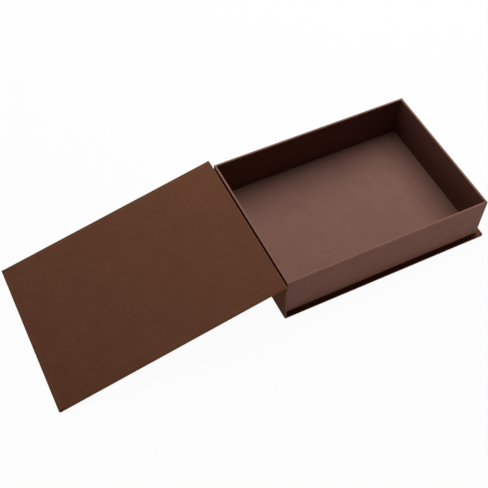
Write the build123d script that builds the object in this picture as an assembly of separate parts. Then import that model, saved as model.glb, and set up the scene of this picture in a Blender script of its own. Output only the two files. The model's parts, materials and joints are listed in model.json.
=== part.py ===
from build123d import *
import os
from math import asin, cos, degrees, radians, sin

# Book-style rigid gift box, open. A tray of grey board wrapped in paper is glued on
# a case of three boards: base, spine and lid. The lid folds at the top of the spine.
# Millimetres. +X runs from the hinge end to the free end, +Y from front to back, +Z up.
# The origin lies on the table, under the middle of the tray.

# ---- driving dimensions ----------------------------------------------------------

# tray
tray_length = 220.0          # outside, hinge end to free end
tray_width = 155.5           # outside, front to back
tray_height = 49.4           # outside, foot to rim
tray_board = 1.8             # grey board of the four walls
tray_floor_board = 1.5       # grey board of the tray's floor
tray_paper = 0.15            # wrapping paper of the tray
tray_turn_under = 12.0       # wrap glued under the tray
tape_thickness = 0.10        # gummed tape that holds each corner of the walls
tape_leg = 14.0              # tape on each side of a corner
floor_liner_paper = 0.15     # loose-edged sheet glued on the tray's floor
floor_liner_clearance = 0.25  # sheet to wrapped wall, all round

# case
case_board = 1.5             # grey board of base, spine and lid
cover_paper = 0.15           # covering paper of the case
cover_turn_in = 15.0         # covering paper folded over onto the inner side
base_overhang = 5.3          # base beyond the tray at front, back and free end
base_corner_radius = 2.4     # wrapped corners of the base
lid_setback = 0.6            # lid inside the base's outline, closed
lid_corner_radius = 1.2      # wrapped corners of the lid
lid_liner_paper = 0.15       # lining sheet on the lid's inner side
lid_liner_margin = 3.0       # lining sheet to the lid's edge
lid_rest_gap = 0.10          # closed lid to rim

# spine and folds
foot_fold_radius = 2.0       # outside of the fold between base and spine
foot_fold_offset = 0.45      # start of that fold, outside the tray's end wall
spine_lean_deg = 2.7         # the spine leans away from the tray
spine_board_lift = 0.25      # foot of the spine board above the end of the fold
spine_drop = 0.6             # top of the spine board below the rim
hinge_offset = 3.0           # lid fold outside the tray's end wall
hinge_gap = 1.5              # lid fold to the hinge edge of the lid board
lining_joint = 4.5           # lid fold to where the hinge lining meets the lid's lining
hinge_lead = 0.4             # paper that still follows the spine above its board
hinge_bend_radius = 0.30     # paper where it leaves the spine and at the lid fold
hinge_paper_gap = 0.10       # between covering paper and lining at the lid fold
lining_bend_radius = 1.0     # lining where it rolls over onto the lid, middle of the paper
lining_shoulder = 0.3        # that roll, measured along the lid from the fold line

# ---- sizes worked out ------------------------------------------------------------

half_length = tray_length / 2
half_width = tray_width / 2

base_top = cover_paper + case_board + cover_paper
rim_height = base_top + tray_height
base_half_width = half_width + base_overhang
base_end = half_length + base_overhang
fold_start = -half_length - foot_fold_offset

wall_bottom = base_top + tray_paper
wall_top = rim_height - tray_paper
wall_skin = tray_paper + tape_thickness          # paper and tape outside a wall board
board_half_length = half_length - wall_skin
board_half_width = half_width - wall_skin
inner_board_half_length = board_half_length - tray_board
inner_board_half_width = board_half_width - tray_board
inside_half_length = inner_board_half_length - tray_paper
inside_half_width = inner_board_half_width - tray_paper
floor_top = wall_bottom + tray_floor_board

lid_thickness = cover_paper + case_board + cover_paper + lid_liner_paper
hinge_x = -half_length - hinge_offset
hinge_z = rim_height + lid_rest_gap + lid_thickness
lid_reach = base_end - lid_setback - hinge_x     # fold line to free edge
lid_half_width = base_half_width - lid_setback
lid_tilt_deg = degrees(asin(hinge_z / lid_reach))  # the free edge lies on the table

lean = radians(spine_lean_deg)
spine_foot_x = fold_start - foot_fold_radius * cos(lean)
spine_foot_z = foot_fold_radius * (1 - sin(lean))
spine_length = (rim_height - spine_drop - spine_foot_z) / cos(lean)

# ---- frames ----------------------------------------------------------------------


def spine_point(across, along):
    """Point in XZ: across from the spine's outer face to the tray, along from its foot."""
    x = spine_foot_x + across * cos(lean) - along * sin(lean)
    z = spine_foot_z + across * sin(lean) + along * cos(lean)
    return (x, z)


def lid_point(along, above):
    """Point in XZ: along the open lid from the fold line, above its outer face."""
    tilt = radians(lid_tilt_deg)
    x = hinge_x - along * cos(tilt) - above * sin(tilt)
    z = hinge_z - along * sin(tilt) + above * cos(tilt)
    return (x, z)


def on_open_lid(shape):
    """Turn a shape drawn flat, X along the lid and Z above it, onto the open lid."""
    turned = shape.rotate(Axis.Z, 180).rotate(Axis.Y, -lid_tilt_deg)
    return turned.translate((hinge_x, 0, hinge_z))


def slab(x0, x1, half_y, z0, z1):
    """Box between two X and two Z values, centred on Y."""
    box = Box(x1 - x0, 2 * half_y, z1 - z0)
    return box.translate(((x0 + x1) / 2, 0, (z0 + z1) / 2))


def end_rounded_slab(x0, x1, half_y, z0, z1, radius):
    """Slab with its two upright edges at x1 rounded."""
    block = slab(x0, x1, half_y, z0, z1)
    if radius > 0:
        block = fillet(block.edges().filter_by(Axis.Z).group_by(Axis.X)[-1], radius)
    return block


def ribbon(points, radii, paper, half_y):
    """Sheet of paper that follows a bent line in XZ and runs across the box in Y."""
    line = FilletPolyline(*[(x, z) for x, z in points], radius=radii)
    flat = trace(line, line_width=paper)
    sheet = extrude(flat, amount=half_y, both=True)
    return sheet.rotate(Axis.X, 90)


# ---- case: base ------------------------------------------------------------------


def base_board():
    half_y = base_half_width - cover_paper
    radius = base_corner_radius - cover_paper
    return end_rounded_slab(fold_start, base_end - cover_paper, half_y,
                            cover_paper, cover_paper + case_board, radius)


def base_cover():
    """Paper under the base, up its three free edges and folded in on top."""
    outer = end_rounded_slab(fold_start, base_end, base_half_width, 0, base_top,
                             base_corner_radius)
    window = slab(fold_start, base_end - cover_turn_in, base_half_width - cover_turn_in,
                  cover_paper + case_board, base_top)
    return outer - base_board() - window


# ---- case: spine -----------------------------------------------------------------


def leaning_sheet(across0, across1, along0, along1, half_y):
    """Flat sheet or board parallel to the leaning spine."""
    corners = [spine_point(across0, along0), spine_point(across1, along0),
               spine_point(across1, along1), spine_point(across0, along1)]
    outline = make_face(Polyline(*corners, close=True))
    return extrude(outline, amount=half_y, both=True).rotate(Axis.X, 90)


def spine_board():
    return leaning_sheet(cover_paper, cover_paper + case_board,
                         spine_board_lift, spine_length, base_half_width - cover_paper)


def foot_fold():
    """Covering paper that rounds the corner from under the base to the spine."""
    centre = (fold_start, foot_fold_radius)
    turn = -(90 - spine_lean_deg)
    outside = CenterArc(centre, foot_fold_radius, 270, turn)
    inside = CenterArc(centre, foot_fold_radius - cover_paper, 270, turn)
    outline = make_face([outside, inside, Line(outside @ 0, inside @ 0),
                         Line(outside @ 1, inside @ 1)])
    return extrude(outline, amount=base_half_width, both=True).rotate(Axis.X, 90)


def spine_cover():
    """Paper round the foot fold, on the spine's outer side and round its two ends."""
    inner_face = cover_paper + case_board
    outer_sheet = leaning_sheet(0, cover_paper, 0, spine_length, base_half_width)
    jacket = leaning_sheet(0, inner_face + cover_paper, spine_board_lift, spine_length,
                           base_half_width)
    window = leaning_sheet(inner_face, inner_face + cover_paper, spine_board_lift,
                           spine_length, base_half_width - cover_turn_in)
    return foot_fold() + outer_sheet + (jacket - spine_board() - window)


def spine_lining():
    """Lower part of the hinge lining, glued on the spine between its turn-ins."""
    inner_face = cover_paper + case_board
    return leaning_sheet(inner_face, inner_face + cover_paper, spine_board_lift,
                         spine_length, base_half_width - cover_turn_in)


# ---- tray ------------------------------------------------------------------------


def tray_wall_end(side):
    """End wall board, full width between the corner tapes; side is -1 or 1."""
    x0 = min(side * board_half_length, side * inner_board_half_length)
    return slab(x0, x0 + tray_board, board_half_width, wall_bottom, wall_top)


def tray_wall_side(side):
    """Front or back wall board, butted between the end walls; side is -1 or 1."""
    board = slab(-inner_board_half_length, inner_board_half_length, tray_board / 2,
                 wall_bottom, wall_top)
    return board.translate((0, side * (board_half_width - tray_board / 2), 0))


def tray_floor():
    return slab(-inner_board_half_length, inner_board_half_length,
                inner_board_half_width, wall_bottom, floor_top)


def corner_tape(side_x, side_y):
    """Gummed paper tape folded round the outside of one corner."""
    outer = slab(0, tape_leg + tape_thickness, (tape_leg + tape_thickness) / 2,
                 wall_bottom, wall_top)
    outer = outer.translate((0, (tape_leg + tape_thickness) / 2, 0))
    core = outer.translate((tape_thickness, tape_thickness, 0))
    tape = (outer - core).rotate(Axis.Z, {(-1, -1): 0, (1, -1): 90,
                                          (1, 1): 180, (-1, 1): 270}[side_x, side_y])
    corner_x = side_x * (half_length - tray_paper)
    corner_y = side_y * (half_width - tray_paper)
    return tape.translate((corner_x, corner_y, 0))


def tray_wrap():
    """One sheet: under the walls, up the outside, over the rim and down the inside."""
    outer = slab(-half_length, half_length, half_width, base_top, rim_height)
    hollow = slab(-inside_half_length, inside_half_length, inside_half_width,
                  base_top, rim_height)
    skin_x = half_length - tray_paper
    skin_y = half_width - tray_paper
    wall_space = slab(-skin_x, skin_x, skin_y, wall_bottom, wall_top)
    wall_space -= slab(-inner_board_half_length, inner_board_half_length,
                       inner_board_half_width, floor_top, wall_top)
    under_x = half_length - tray_turn_under
    under_y = half_width - tray_turn_under
    under_window = slab(-under_x, under_x, under_y, base_top, wall_bottom)
    bottom_ring = slab(-half_length, half_length, half_width, base_top, wall_bottom)
    return (outer - hollow - wall_space) + (bottom_ring - under_window)


def tray_floor_liner():
    return slab(-inside_half_length + floor_liner_clearance,
                inside_half_length - floor_liner_clearance,
                inside_half_width - floor_liner_clearance,
                floor_top, floor_top + floor_liner_paper)


# ---- lid -------------------------------------------------------------------------


def flat_lid_board():
    radius = max(lid_corner_radius - cover_paper, 0)
    return end_rounded_slab(hinge_gap, lid_reach - cover_paper,
                            lid_half_width - cover_paper,
                            cover_paper, cover_paper + case_board, radius)


def lid_board():
    return on_open_lid(flat_lid_board())


def lid_cover():
    """Paper on the lid's outer side, round its three free edges and folded in."""
    top = cover_paper + case_board + cover_paper
    outer = end_rounded_slab(hinge_gap, lid_reach, lid_half_width, 0, top,
                             lid_corner_radius)
    window = slab(hinge_gap, lid_reach - cover_turn_in, lid_half_width - cover_turn_in,
                  cover_paper + case_board, top)
    return on_open_lid(outer - flat_lid_board() - window)


def lid_liner():
    """Lining sheet on the lid's inner side; the turn-ins show round it."""
    inner_face = cover_paper + case_board + cover_paper
    sheet = slab(lining_joint, lid_reach - lid_liner_margin,
                 lid_half_width - lid_liner_margin,
                 inner_face, inner_face + lid_liner_paper)
    return on_open_lid(sheet)


# ---- fold between spine and lid ----------------------------------------------------


def hinge_cover():
    """Covering paper between spine board and lid board, creased on the fold line."""
    middle = cover_paper / 2
    start = spine_point(middle, spine_length)
    leaves = spine_point(middle, spine_length + hinge_lead)
    crease = lid_point(hinge_bend_radius / 2, middle)
    end = lid_point(hinge_gap, middle)
    radii = [hinge_bend_radius, hinge_bend_radius]
    return ribbon([start, leaves, crease, end], radii, cover_paper, lid_half_width)


def hinge_lining():
    """Lining that comes up off the spine, rounds the crease and rolls onto the lid."""
    inner_face = cover_paper + case_board
    start = spine_point(inner_face + cover_paper / 2, spine_length)
    leaves = spine_point(inner_face + cover_paper / 2, spine_length + hinge_lead)
    beside_x = hinge_x + cover_paper + hinge_paper_gap + hinge_bend_radius / 2
    beside = (beside_x, hinge_z)
    level = lid_thickness - lid_liner_paper / 2
    shoulder = lid_point(lining_shoulder, level)
    end = lid_point(lining_joint, level)
    radii = [hinge_bend_radius, lining_bend_radius, lining_bend_radius]
    return ribbon([start, leaves, beside, shoulder, end], radii, lid_liner_paper,
                  lid_half_width - lid_liner_margin)


# ---- write one file for each piece ---------------------------------------------------

pieces = {
    "base_board": base_board(),
    "base_cover": base_cover(),
    "spine_board": spine_board(),
    "spine_cover": spine_cover(),
    "spine_lining": spine_lining(),
    "tray_floor_board": tray_floor(),
    "tray_wall_hinge_end": tray_wall_end(-1),
    "tray_wall_free_end": tray_wall_end(1),
    "tray_wall_front": tray_wall_side(-1),
    "tray_wall_back": tray_wall_side(1),
    "corner_tape_front_hinge": corner_tape(-1, -1),
    "corner_tape_front_free": corner_tape(1, -1),
    "corner_tape_back_free": corner_tape(1, 1),
    "corner_tape_back_hinge": corner_tape(-1, 1),
    "tray_wrap": tray_wrap(),
    "tray_floor_liner": tray_floor_liner(),
    "lid_board": lid_board(),
    "lid_cover": lid_cover(),
    "lid_liner": lid_liner(),
    "hinge_cover": hinge_cover(),
    "hinge_lining": hinge_lining(),
}

os.makedirs("parts", exist_ok=True)
for name, piece in pieces.items():
    export_step(piece, f"parts/{name}.step")

print(f"hinge axis x {hinge_x:.3f} z {hinge_z:.3f}, lid open tilt {lid_tilt_deg:.3f} deg,"
      f" reach {lid_reach:.2f}, rim {rim_height:.2f}, floor {floor_top:.2f}")
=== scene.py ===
import json
import math

import bmesh
import bpy
from mathutils import Matrix, Vector


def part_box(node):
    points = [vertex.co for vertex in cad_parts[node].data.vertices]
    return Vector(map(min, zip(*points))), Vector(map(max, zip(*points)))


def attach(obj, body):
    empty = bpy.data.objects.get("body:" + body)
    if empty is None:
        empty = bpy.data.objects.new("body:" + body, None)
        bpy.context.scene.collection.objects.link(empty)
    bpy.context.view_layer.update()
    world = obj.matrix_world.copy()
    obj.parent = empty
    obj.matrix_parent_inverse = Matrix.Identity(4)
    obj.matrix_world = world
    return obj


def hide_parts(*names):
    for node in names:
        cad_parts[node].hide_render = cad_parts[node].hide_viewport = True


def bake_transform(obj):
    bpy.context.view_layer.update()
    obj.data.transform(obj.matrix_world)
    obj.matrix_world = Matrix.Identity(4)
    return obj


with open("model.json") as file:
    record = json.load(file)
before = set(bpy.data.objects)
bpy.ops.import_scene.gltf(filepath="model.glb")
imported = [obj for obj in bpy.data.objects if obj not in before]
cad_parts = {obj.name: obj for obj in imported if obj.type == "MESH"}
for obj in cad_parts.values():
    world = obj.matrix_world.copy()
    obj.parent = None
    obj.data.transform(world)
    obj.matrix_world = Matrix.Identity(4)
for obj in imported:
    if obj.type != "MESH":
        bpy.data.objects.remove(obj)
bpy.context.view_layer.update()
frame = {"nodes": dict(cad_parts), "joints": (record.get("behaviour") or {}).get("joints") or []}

# An open book-style gift box: a case of three covered boards, and on its base a tray
# wrapped in rose-brown paper. Metres, in the frame of the boards.

# ---- sizes ---------------------------------------------------------------------------

MM = 0.001
paper = 0.15 * MM                 # every sheet of paper
next_sheet = 1.1 * paper          # from one sheet to the one that lies under it
pulled_edge = 0.4 * MM            # paper pulled round the edge of a board
turn_in = 15 * MM                 # cover folded over onto the inner side
base_corner = 2.4 * MM
lid_corner = 1.2 * MM
lid_reach = 227.7 * MM            # lid fold to the free edge
fold_radius = 2.0 * MM            # outside of the fold between base and spine
lean = math.radians(2.7)          # of the spine, away from the tray
spine_drop = 0.6 * MM             # top of the spine board below the rim

lining_joint = 4.5 * MM           # lid fold to where the lid's lining starts
lining_margin = 3.0 * MM          # lid's lining to the lid's edge
past_turn_in = 0.3 * MM           # level lining past the cut edge of the turned-in cover
lining_step = 1.2 * MM            # width of the slope down from there
lining_dip = 0.4 * paper          # and its depth
cockle_height = 0.10 * MM         # waves of a glued sheet
ear_slant = math.radians(17)      # slant edge of a corner's ear to the lid's long edge
ear_lift = 0.8 * MM

hinge_gap = 1.5 * MM              # lid fold to the lid board
hinge_lead = 0.4 * MM             # straight paper above the spine board
hinge_landing = 0.3 * MM          # lid fold to where the inner sheets come down on the lid
outer_crease = 0.15 * MM          # lid fold to the crease of the covering paper
turn_in_crease = 0.24 * MM        # lid fold to the crease of the turned-in cover
lining_crease = 0.4 * MM          # lid fold to the crease of the lining
tight_bend = 0.3 * MM
turn_in_bend = 0.9 * MM           # of the turned-in cover onto the lid
soft_bend = 1.0 * MM

rim_radius = 0.5 * MM             # paper over the tray's edges
wall = 2.2 * MM                   # wrapped wall of the tray
turn_under = 12 * MM              # tray's wrap under the tray

same_place = 0.001 * MM           # points this near are one point
on_edge = 0.01 * MM               # points this near to an edge are on it
facing = 0.9                      # a face with so much of its normal along an axis looks that way
sharp = math.radians(30)          # faces that meet at a larger angle make a real corner
smooth_up_to = math.radians(32)   # and those at a smaller angle are shaded as one surface

base_low, base_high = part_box("base_board")
base_low = base_low - Vector((0, paper, paper))
base_high = base_high + Vector((paper, paper, paper))
tray_low, tray_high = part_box("tray_wrap")
sheet_low, sheet_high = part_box("tray_floor_liner")
fold = Vector(frame["joints"][0]["pos_m"])     # crease that the lid turns on
lid_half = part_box("lid_cover")[1].y            # half the lid's width
thick = base_high.z                            # of each covered board: cover, board, turn-in
tilt = math.asin(fold.z / lid_reach)           # the free edge lies on the table
fold_centre = Vector((base_low.x, 0, fold_radius))
up_spine = Vector((-math.sin(lean), 0, math.cos(lean)))
off_spine = Vector((math.cos(lean), 0, math.sin(lean)))     # towards the tray
spine_foot = fold_centre - fold_radius * off_spine
spine_length = (tray_high.z - spine_drop - spine_foot.z) / math.cos(lean)
along_lid = Vector((-math.cos(tilt), 0, -math.sin(tilt)))
above_lid = Vector((-math.sin(tilt), 0, math.cos(tilt)))
open_lid = Matrix.Translation(fold) @ Matrix.Rotation(-tilt, 4, "Y") @ Matrix.Rotation(math.pi, 4, "Z")


# ---- handling a piece ----------------------------------------------------------------


def take(piece):
    """Make one piece the only one selected."""
    bpy.ops.object.select_all(action="DESELECT")
    piece.select_set(True)
    bpy.context.view_layer.objects.active = piece


def start_edit(piece):
    take(piece)
    bpy.ops.object.mode_set(mode="EDIT")
    bpy.ops.mesh.select_all(action="DESELECT")


def end_edit():
    bpy.ops.object.mode_set(mode="OBJECT")


def place_in_mesh(piece):
    """Put a piece's place, turn and scale into its mesh."""
    take(piece)
    bpy.ops.object.transform_apply(location=True, rotation=True, scale=True)


def settle(piece, name):
    """Name a new piece and put its place into its mesh."""
    piece.name = name
    piece.data.name = name
    place_in_mesh(piece)
    return piece


def block(name, low, high):
    """A block between two corners."""
    low, high = Vector(low), Vector(high)
    bpy.ops.object.select_all(action="DESELECT")
    bpy.ops.mesh.primitive_cube_add(size=1, location=(low + high) / 2, scale=high - low)
    return settle(bpy.context.object, name)


def pick_faces(piece, wanted):
    """Select the faces whose centre and normal are wanted."""
    bpy.ops.mesh.select_mode(type="FACE")
    bpy.ops.mesh.select_all(action="DESELECT")
    mesh = bmesh.from_edit_mesh(piece.data)
    for face in mesh.faces:
        if wanted(face.calc_center_median(), face.normal):
            face.select_set(True)
    bmesh.update_edit_mesh(piece.data)


def pick_edges(piece, wanted):
    """Select the edges whose two ends are wanted."""
    bpy.ops.mesh.select_mode(type="EDGE")
    bpy.ops.mesh.select_all(action="DESELECT")
    mesh = bmesh.from_edit_mesh(piece.data)
    for edge in mesh.edges:
        if wanted(edge.verts[0].co, edge.verts[1].co):
            edge.select_set(True)
    bmesh.update_edit_mesh(piece.data)


def round_edges(width, segments):
    """Round the edges that are selected."""
    bpy.ops.mesh.bevel(offset_type="OFFSET", offset=width, segments=segments, profile=0.5,
                       affect="EDGES")


def round_sharp_edges(piece, width, segments):
    """Round every edge where two faces meet at a real corner."""
    bpy.ops.mesh.select_mode(type="EDGE")
    bpy.ops.mesh.select_all(action="DESELECT")
    mesh = bmesh.from_edit_mesh(piece.data)
    for edge in mesh.edges:
        if edge.is_manifold and edge.calc_face_angle() > sharp:
            edge.select_set(True)
    bmesh.update_edit_mesh(piece.data)
    round_edges(width, segments)


def round_free_corners(piece, free_end, radius, segments):
    """Round the two corners of a covered board, seen from above, at its free end."""
    pick_edges(piece, lambda a, b: min(a.x, b.x) > free_end - on_edge
               and abs(a.z - b.z) > thick / 2)
    round_edges(radius, segments)


def merge_and_turn_out():
    """Merge doubles and point every face outwards."""
    bpy.ops.mesh.select_all(action="SELECT")
    bpy.ops.mesh.remove_doubles(threshold=same_place)
    bpy.ops.mesh.normals_make_consistent(inside=False)
    bpy.ops.mesh.select_all(action="DESELECT")


def cockle(piece, patch, level):
    """Waves of a glued sheet, about patch across; a higher level sinks more of it."""
    waves = bpy.data.textures.new(piece.name + "_waves", "CLOUDS")
    waves.noise_scale = patch
    take(piece)
    lift = piece.modifiers.new("cockle", "DISPLACE")
    lift.texture = waves
    lift.direction = "Z"
    lift.strength = cockle_height
    lift.mid_level = level
    bpy.ops.object.modifier_apply(modifier=lift.name)


def thicken(piece, side=-1):
    """Make a sheet one paper thick; side -1 is inwards and 0 is half to each side."""
    take(piece)
    body = piece.modifiers.new("thickness", "SOLIDIFY")
    body.thickness = paper
    body.offset = side
    body.use_even_offset = True
    body.use_quality_normals = True
    bpy.ops.object.modifier_apply(modifier=body.name)


def smooth(piece):
    """Smooth the rounded edges and keep the flat sides flat."""
    take(piece)
    bpy.ops.object.shade_smooth_by_angle(angle=smooth_up_to)
    weights = piece.modifiers.new("flat_sides", "WEIGHTED_NORMAL")
    weights.keep_sharp = True
    weights.weight = 90
    bpy.ops.object.modifier_apply(modifier=weights.name)


def lay_on_lid(piece):
    """Turn a piece drawn flat, X from the fold and Z above the outer side, onto the lid."""
    piece.matrix_world = open_lid
    place_in_mesh(piece)


# ---- case: base and spine ------------------------------------------------------------


def inner_side(centre, normal):
    """A face of the case that looks at the tray: on the base, in the fold or on the spine."""
    in_fold = math.hypot(centre.x - fold_centre.x, centre.z - fold_centre.z) < fold_radius / 2
    on_base = normal.z > facing and centre.x > fold_centre.x
    on_spine = normal.x > facing and centre.x < fold_centre.x
    return abs(normal.y) < 0.1 and (in_fold or on_base or on_spine)


def case_wrap():
    """Covering paper of base and spine, one sheet round the fold between them."""
    piece = block("case_wrap", (fold_centre.x, base_low.y, 0), base_high)
    start_edit(piece)
    pick_faces(piece, lambda centre, normal: normal.x < -facing)
    bpy.ops.mesh.spin(steps=12, angle=lean - math.pi / 2, center=fold_centre, axis=(0, 1, 0))
    bpy.ops.mesh.extrude_region_move(
        TRANSFORM_OT_translate={"value": up_spine * spine_length})
    merge_and_turn_out()
    # The top of the spine is open: the paper runs on there, over the lid's fold.
    near_top = spine_foot.z + 0.9 * spine_length
    pick_faces(piece, lambda centre, normal: centre.z > near_top and normal.z > facing)
    bpy.ops.mesh.delete(type="ONLY_FACE")
    # The cover is turned in along the edges only: the middle of the inner side is cut away.
    window_x = base_high.x - turn_in
    window_y = base_high.y - turn_in
    for point, way in (((0, window_y, 0), (0, 1, 0)), ((0, -window_y, 0), (0, 1, 0)),
                       ((window_x, 0, 0), (1, 0, 0))):
        pick_faces(piece, inner_side)
        bpy.ops.mesh.bisect(plane_co=point, plane_no=way)
    pick_faces(piece, lambda centre, normal: inner_side(centre, normal)
               and abs(centre.y) < window_y and centre.x < window_x)
    bpy.ops.mesh.delete(type="FACE")
    round_free_corners(piece, base_high.x, base_corner, segments=7)
    round_sharp_edges(piece, pulled_edge, segments=4)
    end_edit()
    thicken(piece)
    smooth(piece)
    return piece


# ---- lid -----------------------------------------------------------------------------


def lid_wrap():
    """Covering paper of the lid, round its three free edges and folded in."""
    piece = block("lid_wrap", (hinge_gap, -lid_half, 0), (lid_reach, lid_half, thick))
    start_edit(piece)
    pick_faces(piece, lambda centre, normal: normal.x < -facing)
    bpy.ops.mesh.delete(type="ONLY_FACE")
    pick_faces(piece, lambda centre, normal: normal.z > facing)
    bpy.ops.mesh.inset(thickness=turn_in, use_boundary=False, use_even_offset=True)
    bpy.ops.mesh.delete(type="FACE")
    round_free_corners(piece, lid_reach, lid_corner, segments=6)
    round_sharp_edges(piece, pulled_edge, segments=4)
    end_edit()
    thicken(piece)
    smooth(piece)
    lay_on_lid(piece)
    return piece


def lid_lining():
    """Lining sheet of the lid, dished a little between the turn-ins under it."""
    length = lid_reach - lining_margin - lining_joint
    width = 2 * (lid_half - lining_margin)
    over_turn_in = turn_in - lining_margin + past_turn_in
    bpy.ops.object.select_all(action="DESELECT")
    bpy.ops.mesh.primitive_plane_add(
        size=1, location=(lining_joint + length / 2, 0, thick + paper))
    piece = bpy.context.object
    piece.scale = (length, width, 1)
    settle(piece, "lid_lining")
    start_edit(piece)
    bpy.ops.mesh.select_all(action="SELECT")
    bpy.ops.mesh.inset(thickness=over_turn_in, use_even_offset=True)
    bpy.ops.mesh.inset(thickness=lining_step, use_even_offset=True)
    bpy.ops.transform.translate(value=(0, 0, -lining_dip))
    bpy.ops.mesh.select_all(action="SELECT")
    bpy.ops.mesh.subdivide(number_cuts=40)
    end_edit()
    cockle(piece, patch=35 * MM, level=0.75)
    thicken(piece)
    smooth(piece)
    lay_on_lid(piece)
    return piece


def corner_ear(name, side):
    """Ear of the turned-in cover beside the lining at a free corner, lifted at its tip."""
    tip = Vector((lid_reach - pulled_edge, side * (lid_half - pulled_edge), thick))
    inner_y = side * (lid_half - lining_margin)
    far_x = tip.x - lining_margin / math.tan(ear_slant)
    piece = block(name, (far_x, min(tip.y, inner_y), thick),
                  (tip.x, max(tip.y, inner_y), thick + 2 * paper))
    start_edit(piece)
    bpy.ops.mesh.select_all(action="SELECT")
    bpy.ops.mesh.bisect(plane_co=tip, use_fill=True, clear_outer=True,
                        plane_no=(-math.sin(ear_slant), side * math.cos(ear_slant), 0))
    merge_and_turn_out()
    for corner, lift in ((tip, ear_lift), (Vector((far_x, inner_y, thick)), ear_lift / 2)):
        pick_edges(piece, lambda a, b: max((a - corner).xy.length,
                                           (b - corner).xy.length) < on_edge)
        bpy.ops.transform.translate(value=(0, 0, lift))
    end_edit()
    smooth(piece)
    lay_on_lid(piece)
    return piece


# ---- fold between spine and lid ------------------------------------------------------


def spine_point(across, along):
    """A point so far from the spine's outer side, and so far up from its foot."""
    return spine_foot + off_spine * across + up_spine * along


def lid_point(along, above):
    """A point so far along the lid from its fold, and so far above its outer side."""
    return fold + along_lid * along + above_lid * above


def is_at(point, target):
    """Whether a point lies on the line across the box through target."""
    return math.hypot(point.x - target.x, point.z - target.z) < on_edge


def paper_strip(name, path, bends, half):
    """A strip across the box that follows a path in XZ; bends are the radii inside it."""
    first, second = path[0], path[1]
    bpy.ops.object.select_all(action="DESELECT")
    bpy.ops.mesh.primitive_plane_add(size=1, location=(0, 0, 0))
    piece = bpy.context.object
    piece.scale = ((second - first).length, 2 * half, 1)
    piece.rotation_euler = (0, -math.atan2(second.z - first.z, second.x - first.x), 0)
    piece.location = (first + second) / 2
    settle(piece, name)
    start_edit(piece)
    for here, after in zip(path[1:], path[2:]):
        pick_edges(piece, lambda a, b: is_at(a, here) and is_at(b, here))
        bpy.ops.mesh.extrude_region_move(TRANSFORM_OT_translate={"value": after - here})
    for before, here, after, radius in zip(path, path[1:], path[2:], bends):
        turn = (here - before).angle(after - here)
        pick_edges(piece, lambda a, b: is_at(a, here) and is_at(b, here))
        round_edges(radius * math.tan(turn / 2), segments=7)
    pick_edges(piece, lambda a, b: abs(a.y - b.y) < same_place)
    bpy.ops.mesh.subdivide(number_cuts=3)
    merge_and_turn_out()
    end_edit()
    return piece


def keep_ends(piece, window):
    """Cut away the middle of a strip, window to each side, where no cover is turned in."""
    start_edit(piece)
    for side in (-1, 1):
        bpy.ops.mesh.select_all(action="SELECT")
        bpy.ops.mesh.bisect(plane_co=(0, side * window, 0), plane_no=(0, 1, 0))
    pick_faces(piece, lambda centre, normal: abs(centre.y) < window)
    bpy.ops.mesh.delete(type="FACE")
    end_edit()


def inner_path(drop, crease, reach):
    """Path of a sheet inside the fold, drop under the lining: off the spine, onto the lid."""
    off = thick - paper / 2 - drop
    level = thick + paper / 2 - drop
    return [spine_point(off, spine_length),
            spine_point(off, spine_length + hinge_lead),
            fold + Vector((crease, 0, 0)),
            lid_point(hinge_landing, level),
            lid_point(reach, level)]


def spine_top_folds():
    """Turned-in cover over the top edge of the spine board, at its two ends."""
    level = spine_length + paper / 2
    piece = paper_strip("spine_top_folds", [spine_point(0, level), spine_point(thick, level)],
                        [], base_high.y - paper)
    keep_ends(piece, base_high.y - turn_in)
    thicken(piece, 0)
    smooth(piece)
    return piece


def hinge_turn_in(half):
    """The cover folded back over the joint at its two ends, a hair below the lining."""
    piece = paper_strip("hinge_turn_in", inner_path(next_sheet, turn_in_crease, hinge_gap),
                        [tight_bend, soft_bend, turn_in_bend], half)
    keep_ends(piece, half - turn_in)
    return piece


def hinge_wrap():
    """Covering paper from the spine over the fold to the lid board, turned in at its ends."""
    half = lid_half - paper / 2
    middle = paper / 2
    path = [spine_point(middle, spine_length),
            spine_point(middle, spine_length + hinge_lead),
            lid_point(outer_crease, middle),
            lid_point(hinge_gap, middle)]
    inner = hinge_turn_in(half)
    piece = paper_strip("hinge_wrap", path, [tight_bend, tight_bend], half)
    inner.select_set(True)
    bpy.ops.object.join()
    start_edit(piece)
    for side in (-1, 1):
        pick_edges(piece, lambda a, b: min(side * a.y, side * b.y) > half - on_edge)
        bpy.ops.mesh.bridge_edge_loops()
    merge_and_turn_out()
    end_edit()
    thicken(piece, 0)
    smooth(piece)
    return piece


def hinge_lining():
    """Lining that comes up off the spine, rounds the fold and rolls onto the lid."""
    piece = paper_strip("hinge_lining_sheet", inner_path(0, lining_crease, lining_joint),
                        [tight_bend, soft_bend, soft_bend], lid_half - lining_margin)
    thicken(piece, 0)
    smooth(piece)
    return piece


# ---- tray ----------------------------------------------------------------------------


def tray_paper():
    """One sheet: under the walls, up the outside, over the rim and down the inside."""
    piece = block("tray_paper", tray_low, tray_high)
    start_edit(piece)
    pick_faces(piece, lambda centre, normal: normal.z > facing)
    bpy.ops.mesh.inset(thickness=wall, use_even_offset=True)
    bpy.ops.mesh.extrude_region_move(
        TRANSFORM_OT_translate={"value": (0, 0, sheet_low.z - tray_high.z)})
    bpy.ops.mesh.delete(type="ONLY_FACE")
    pick_faces(piece, lambda centre, normal: normal.z < -facing)
    bpy.ops.mesh.inset(thickness=turn_under, use_even_offset=True)
    bpy.ops.mesh.delete(type="ONLY_FACE")
    round_sharp_edges(piece, rim_radius, segments=5)
    end_edit()
    thicken(piece)
    smooth(piece)
    return piece


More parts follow.
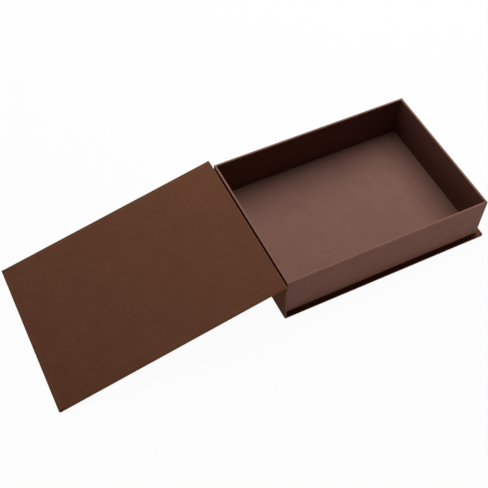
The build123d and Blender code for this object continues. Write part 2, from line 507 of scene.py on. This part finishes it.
def floor_sheet():
    """Sheet on the tray's floor, its cut edges a hair short of the walls."""
    bpy.ops.object.select_all(action="DESELECT")
    bpy.ops.mesh.primitive_grid_add(x_subdivisions=60, y_subdivisions=44, size=1,
                                    location=(0, 0, sheet_high.z))
    piece = bpy.context.object
    piece.scale = (sheet_high.x - sheet_low.x, sheet_high.y - sheet_low.y, 1)
    settle(piece, "floor_sheet")
    cockle(piece, patch=50 * MM, level=0.5)
    thicken(piece)
    smooth(piece)
    return piece


# ---- materials -----------------------------------------------------------------------


class Wire:
    """A shader value. Arithmetic on it adds Math nodes to its material."""

    def __init__(self, finish, socket):
        self.finish = finish
        self.socket = socket

    def __add__(self, other):
        return self.finish.math("ADD", self, other)

    __radd__ = __add__

    def __mul__(self, other):
        return self.finish.math("MULTIPLY", self, other)

    __rmul__ = __mul__

    def __sub__(self, other):
        return self.finish.math("SUBTRACT", self, other)

    def __rsub__(self, other):
        return self.finish.math("SUBTRACT", other, self)

    def __abs__(self):
        return self.finish.math("ABSOLUTE", self)

    def smaller(self, other):
        return self.finish.math("MINIMUM", self, other)

    def larger(self, other):
        return self.finish.math("MAXIMUM", self, other)

    def band(self, start, end):
        """0 below start and 1 above end, or the other way round where end is smaller."""
        if start < end:
            values = {"Value": self, "From Min": start, "From Max": end}
        else:
            values = {"Value": self, "From Min": end, "From Max": start,
                      "To Min": 1.0, "To Max": 0.0}
        return self.finish.add("ShaderNodeMapRange", {"interpolation_type": "SMOOTHSTEP"}, values)


class Finish:
    """A material being built round its one shader."""

    def __init__(self, name):
        self.material = bpy.data.materials.new(name)
        self.material.use_nodes = True
        self.tree = self.material.node_tree
        self.shader = self.tree.nodes["Principled BSDF"]
        self.place = self.add("ShaderNodeTexCoord", out="Object")

    def add(self, kind, settings=None, values=None, out=0):
        """Add a node with its settings and the values or wires of its sockets."""
        node = self.tree.nodes.new(kind)
        for key, setting in (settings or {}).items():
            setattr(node, key, setting)
        for key, value in (values or {}).items():
            self.feed(node.inputs[key], value)
        return Wire(self, node.outputs[out])

    def feed(self, socket, value):
        if isinstance(value, Wire):
            self.tree.links.new(value.socket, socket)
        else:
            socket.default_value = value

    def set(self, **values):
        """Feed the shader's sockets, each named in small letters with underscores."""
        for key, value in values.items():
            self.feed(self.shader.inputs[key.replace("_", " ").title()], value)

    def math(self, operation, *values):
        return self.add("ShaderNodeMath", {"operation": operation}, dict(enumerate(values)))

    def noise(self, size, detail=2.0, stretch=(1, 1, 1)):
        """Cloudy noise whose patches are about size across, longer along a stretched axis."""
        at = self.add("ShaderNodeMapping", {"vector_type": "POINT"},
                      {"Vector": self.place, "Scale": tuple(1 / (size * s) for s in stretch)})
        return self.add("ShaderNodeTexNoise", {"noise_dimensions": "3D"},
                        {"Vector": at, "Scale": 1.0, "Detail": detail, "Roughness": 0.5})

    def along(self, direction, origin=(0, 0, 0)):
        """Distance of the shaded point from origin along a direction."""
        way = Vector(direction).normalized()
        reach = self.add("ShaderNodeVectorMath", {"operation": "DOT_PRODUCT"},
                         {0: self.place, 1: way}, out="Value")
        return reach - way.dot(Vector(origin))

    def mix(self, share, first, second):
        """The first colour where share is 0 and the second where it is 1."""
        return self.add("ShaderNodeMix", {"data_type": "RGBA", "blend_type": "MIX"},
                        {0: share, 6: first, 7: second}, out=2)

    def bump(self, height, strength, distance):
        return self.add("ShaderNodeBump", None,
                        {"Strength": strength, "Distance": distance, "Height": height})


def srgb(red, green, blue):
    """A colour from its three screen values of 0 to 255."""
    channels = []
    for value in (red, green, blue):
        share = value / 255
        channels.append(share / 12.92 if share <= 0.04045 else ((share + 0.055) / 1.055) ** 2.4)
    return (*channels, 1.0)


# Grain of the dyed papers. Rubbing shows up to worn_from inside an edge, in full at the edge.
cloud_size = 18 * MM
fleck_size = 1.1 * MM
fibre_width = 0.35 * MM
fibre_length = 9                  # times its width
tooth_size = 0.22 * MM
tooth_depth = 0.05 * MM
worn_from = 0.75 * MM
worn_full = 0.05 * MM


def dyed_paper(name, colours, rough, shine, tooth, edge=None, rubbed=0.0):
    """Paper dyed in the mass: faint clouds, felt fibres, fine tooth, paler worn edges."""
    plain, deep, worn = colours
    finish = Finish(name)
    clouds = finish.noise(cloud_size, 3.0)
    flecks = finish.noise(fleck_size, 3.0)
    fibres_x = finish.noise(fibre_width, 2.0, (fibre_length, 1, 1))
    fibres_y = finish.noise(fibre_width, 2.0, (1, fibre_length, 1))
    felt = (fibres_x + fibres_y) * 0.5
    grain = finish.noise(tooth_size, 2.0)
    depth = (clouds * 0.2 + flecks * 0.35 + felt * 0.45).band(0.36, 0.64)
    colour = finish.mix(depth, plain, deep)
    gloss = rough + (felt - 0.5) * 0.12 + (clouds - 0.5) * 0.06
    if edge is not None:
        ragged = (flecks - 0.5) * 0.9 * MM + (clouds - 0.5) * 0.8 * MM
        wear = (edge(finish) + ragged).band(worn_from, worn_full)
        colour = finish.mix(wear * rubbed, colour, worn)
        gloss = gloss - wear * 0.12
    relief = felt * 0.6 + grain * 0.4
    finish.set(base_color=colour, roughness=gloss,
               normal=finish.bump(relief, tooth, tooth_depth))
    finish.shader.inputs["Specular IOR Level"].default_value = shine
    return finish.material


def lid_edge(finish):
    """Distance to the nearest free edge of the lid."""
    from_fold = finish.along(along_lid, fold)
    return (lid_reach - from_fold).smaller(lid_half - abs(finish.along((0, 1, 0))))


def lining_edge(finish):
    """Distance to the nearest cut edge of the lid's lining."""
    return lid_edge(finish) - lining_margin


def case_edge(finish):
    """Distance to the nearest edge of base and spine."""
    to_side = base_high.y - abs(finish.along((0, 1, 0)))
    return to_side.smaller(base_high.x - finish.along((1, 0, 0)))


def tray_edge(finish):
    """Distance to the rim or to an upright corner of the tray."""
    to_rim = tray_high.z - finish.along((0, 0, 1))
    to_end = tray_high.x - abs(finish.along((1, 0, 0)))
    to_side = tray_high.y - abs(finish.along((0, 1, 0)))
    return to_rim.smaller(to_end.larger(to_side))


def grey_board():
    """Uncovered grey board: pressed pulp with dark specks."""
    finish = Finish("grey_board")
    pulp = finish.noise(2.5 * MM, 4.0)
    specks = finish.noise(0.5 * MM, 1.0).band(0.60, 0.72)
    colour = finish.mix(pulp.band(0.35, 0.65), srgb(150, 143, 132), srgb(128, 122, 113))
    colour = finish.mix(specks * 0.5, colour, srgb(92, 86, 80))
    finish.set(base_color=colour, roughness=0.86 + (pulp - 0.5) * 0.1,
               normal=finish.bump(pulp, 0.5, 0.1 * MM))
    return finish.material


def gummed_tape():
    """Brown gummed paper tape, faintly ribbed along its run."""
    finish = Finish("gummed_tape")
    ribs = finish.noise(0.4 * MM, 2.0, (1, 1, 12))
    clouds = finish.noise(6 * MM, 2.0)
    colour = finish.mix((ribs * 0.5 + clouds * 0.5).band(0.35, 0.65),
                        srgb(178, 142, 98), srgb(158, 122, 80))
    finish.set(base_color=colour, roughness=0.5 + (ribs - 0.5) * 0.2,
               normal=finish.bump(ribs, 0.4, 0.05 * MM))
    return finish.material


def dress(piece, material):
    """Give a piece its one material."""
    piece.data.materials.clear()
    piece.data.materials.append(material)


# ---- put together --------------------------------------------------------------------

worn_brown = srgb(134, 98, 76)
worn_rose = srgb(146, 110, 98)

# Each paper's plain, deep and worn colour.
cover_brown = (srgb(108, 67, 44), srgb(98, 59, 37), worn_brown)
lining_brown = (srgb(106, 68, 50), srgb(96, 60, 43), worn_brown)
tray_rose = (srgb(122, 84, 73), srgb(112, 75, 64), worn_rose)
floor_rose = (srgb(122, 88, 78), srgb(112, 79, 69), worn_rose)

cover_case = dyed_paper("cover_paper_case", cover_brown, rough=0.85, shine=0.05, tooth=0.5,
                        edge=case_edge, rubbed=0.15)
cover_lid = dyed_paper("cover_paper_lid", cover_brown, rough=0.85, shine=0.05, tooth=0.7,
                       edge=lid_edge, rubbed=0.2)
lining_lid = dyed_paper("lining_paper", lining_brown, rough=0.85, shine=0.05, tooth=0.7,
                        edge=lining_edge, rubbed=0.5)
tray_finish = dyed_paper("tray_paper", tray_rose, rough=0.6, shine=0.06, tooth=0.35,
                         edge=tray_edge, rubbed=0.2)
floor_finish = dyed_paper("tray_floor_paper", floor_rose, rough=0.6, shine=0.06, tooth=0.35)
board = grey_board()
tape = gummed_tape()

piece = case_wrap()
dress(piece, cover_case)
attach(piece, "case")
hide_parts("base_cover", "spine_cover")

piece = tray_paper()
dress(piece, tray_finish)
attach(piece, "case")
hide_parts("tray_wrap")

piece = floor_sheet()
dress(piece, floor_finish)
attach(piece, "case")
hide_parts("tray_floor_liner")

piece = lid_wrap()
dress(piece, cover_lid)
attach(piece, "lid")
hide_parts("lid_cover")

piece = lid_lining()
dress(piece, lining_lid)
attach(piece, "lid")
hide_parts("lid_liner")

for end, side in (("front", 1), ("back", -1)):
    piece = corner_ear("lid_corner_ear_" + end, side)
    dress(piece, cover_lid)
    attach(piece, "lid")

piece = spine_top_folds()
dress(piece, cover_case)
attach(piece, "case")

piece = hinge_wrap()
dress(piece, cover_lid)
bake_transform(piece)
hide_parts("hinge_cover")

piece = hinge_lining()
dress(piece, lining_lid)
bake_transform(piece)
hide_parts("hinge_lining")

for name, node in frame["nodes"].items():
    if "board" in name or "wall" in name:
        dress(node, board)
    elif "tape" in name:
        dress(node, tape)
    elif name == "spine_lining":
        dress(node, lining_lid)

# ---- table, light and camera ---------------------------------------------------------

table_size = 8
table_grey = 0.6

# The table glows a little. To the camera and in reflections (direct) the glow makes it look white;
# to all other light the table, though it is no lamp, glows onto the object and lights the tray's walls
# and the spine from below. Strength of the glow, and the glow's share of the finish, direct and to all
# other light.
glow_direct = 1.0
glow_other = 1.1
share_direct = 0.96
share_other = 0.3

sky_seen = 1.0                    # strength of the white round the object, to the camera
sky_light = 0.02                  # and as light on the object

camera_azimuth = math.radians(-28.434)
camera_elevation = math.radians(54.258)
camera_roll = math.radians(2.438)
camera_target = Vector((-0.1209, -0.0123, 0.0376))
camera_distance = 0.84576
camera_sensor = 36                # millimetres, and so is the lens
camera_lens = 65.964


def white_table():
    """Finish of the table, white to the camera, which keeps a faint shadow, and which glows onto the
    object though it is no lamp.
    """
    white = Finish("white_table")
    white.set(base_color=(table_grey, table_grey, table_grey, 1), roughness=0.9)
    direct = (white.add("ShaderNodeLightPath", out="Is Camera Ray")
              + white.add("ShaderNodeLightPath", out="Is Glossy Ray"))
    strength = direct * (glow_direct - glow_other) + glow_other
    share = direct * (share_direct - share_other) + share_other
    glow = white.add("ShaderNodeEmission", None, {"Color": (1, 1, 1, 1), "Strength": strength})
    surface = white.add("ShaderNodeMixShader", None,
                        {0: share, 1: Wire(white, white.shader.outputs[0]), 2: glow})
    white.feed(white.tree.nodes["Material Output"].inputs["Surface"], surface)
    return white.material


def white_sky():
    """White round the table to the camera, and next to no light on the object."""
    world = bpy.data.worlds.new("studio")
    bpy.context.scene.world = world
    world.use_nodes = True
    nodes, links = world.node_tree.nodes, world.node_tree.links
    background = nodes["Background"]
    background.inputs["Color"].default_value = (1, 1, 1, 1)
    rays = nodes.new("ShaderNodeLightPath")
    strength = nodes.new("ShaderNodeMapRange")
    strength.inputs["To Min"].default_value = sky_light
    strength.inputs["To Max"].default_value = sky_seen
    links.new(rays.outputs["Is Camera Ray"], strength.inputs["Value"])
    links.new(strength.outputs["Result"], background.inputs["Strength"])


def soft_light(name, place, turn, width, height, energy):
    """A rectangular lamp; unturned it shines straight down."""
    bpy.ops.object.light_add(type="AREA", location=place, rotation=turn)
    lamp = bpy.context.object
    lamp.name = name
    lamp.data.shape = "RECTANGLE"
    lamp.data.size = width
    lamp.data.size_y = height
    lamp.data.energy = energy
    lamp.visible_camera = False


def photo_camera():
    """Camera at the photograph's angle; azimuth 0 looks along +Y."""
    back = Vector((math.sin(camera_azimuth) * math.cos(camera_elevation),
                   -math.cos(camera_azimuth) * math.cos(camera_elevation),
                   math.sin(camera_elevation)))
    level_x = Vector((0, 0, 1)).cross(back).normalized()
    level_y = back.cross(level_x)
    camera_x = math.cos(camera_roll) * level_x + math.sin(camera_roll) * level_y
    camera_y = -math.sin(camera_roll) * level_x + math.cos(camera_roll) * level_y
    bpy.ops.object.camera_add(location=camera_target + back * camera_distance)
    camera = bpy.context.object
    camera.rotation_euler = Matrix((camera_x, camera_y, back)).transposed().to_euler()
    camera.data.sensor_width = camera_sensor
    camera.data.lens = camera_lens
    return camera


bpy.ops.object.select_all(action="DESELECT")
bpy.ops.mesh.primitive_plane_add(size=table_size, location=(0, 0, 0))
table = bpy.context.object
table.name = "table"
dress(table, white_table())

white_sky()
soft_light("softbox", place=(0.36, 0.62, 0.88), turn=(0, 0, 0),
           width=0.95, height=1.2, energy=20.2)
# Low strips for the light of a white sweep, in front of the tray and far to the left.
soft_light("front_strip", place=(0.62, -0.9, 0.035), turn=(math.pi / 2, 0, 0),
           width=1.2, height=0.06, energy=4.0)
soft_light("left_strip", place=(-1.3, 0.1, 0.17), turn=(0, -math.pi / 2, 0),
           width=0.16, height=1.2, energy=2.2)

bpy.context.scene.camera = photo_camera()
bpy.context.scene.view_settings.view_transform = "Standard"
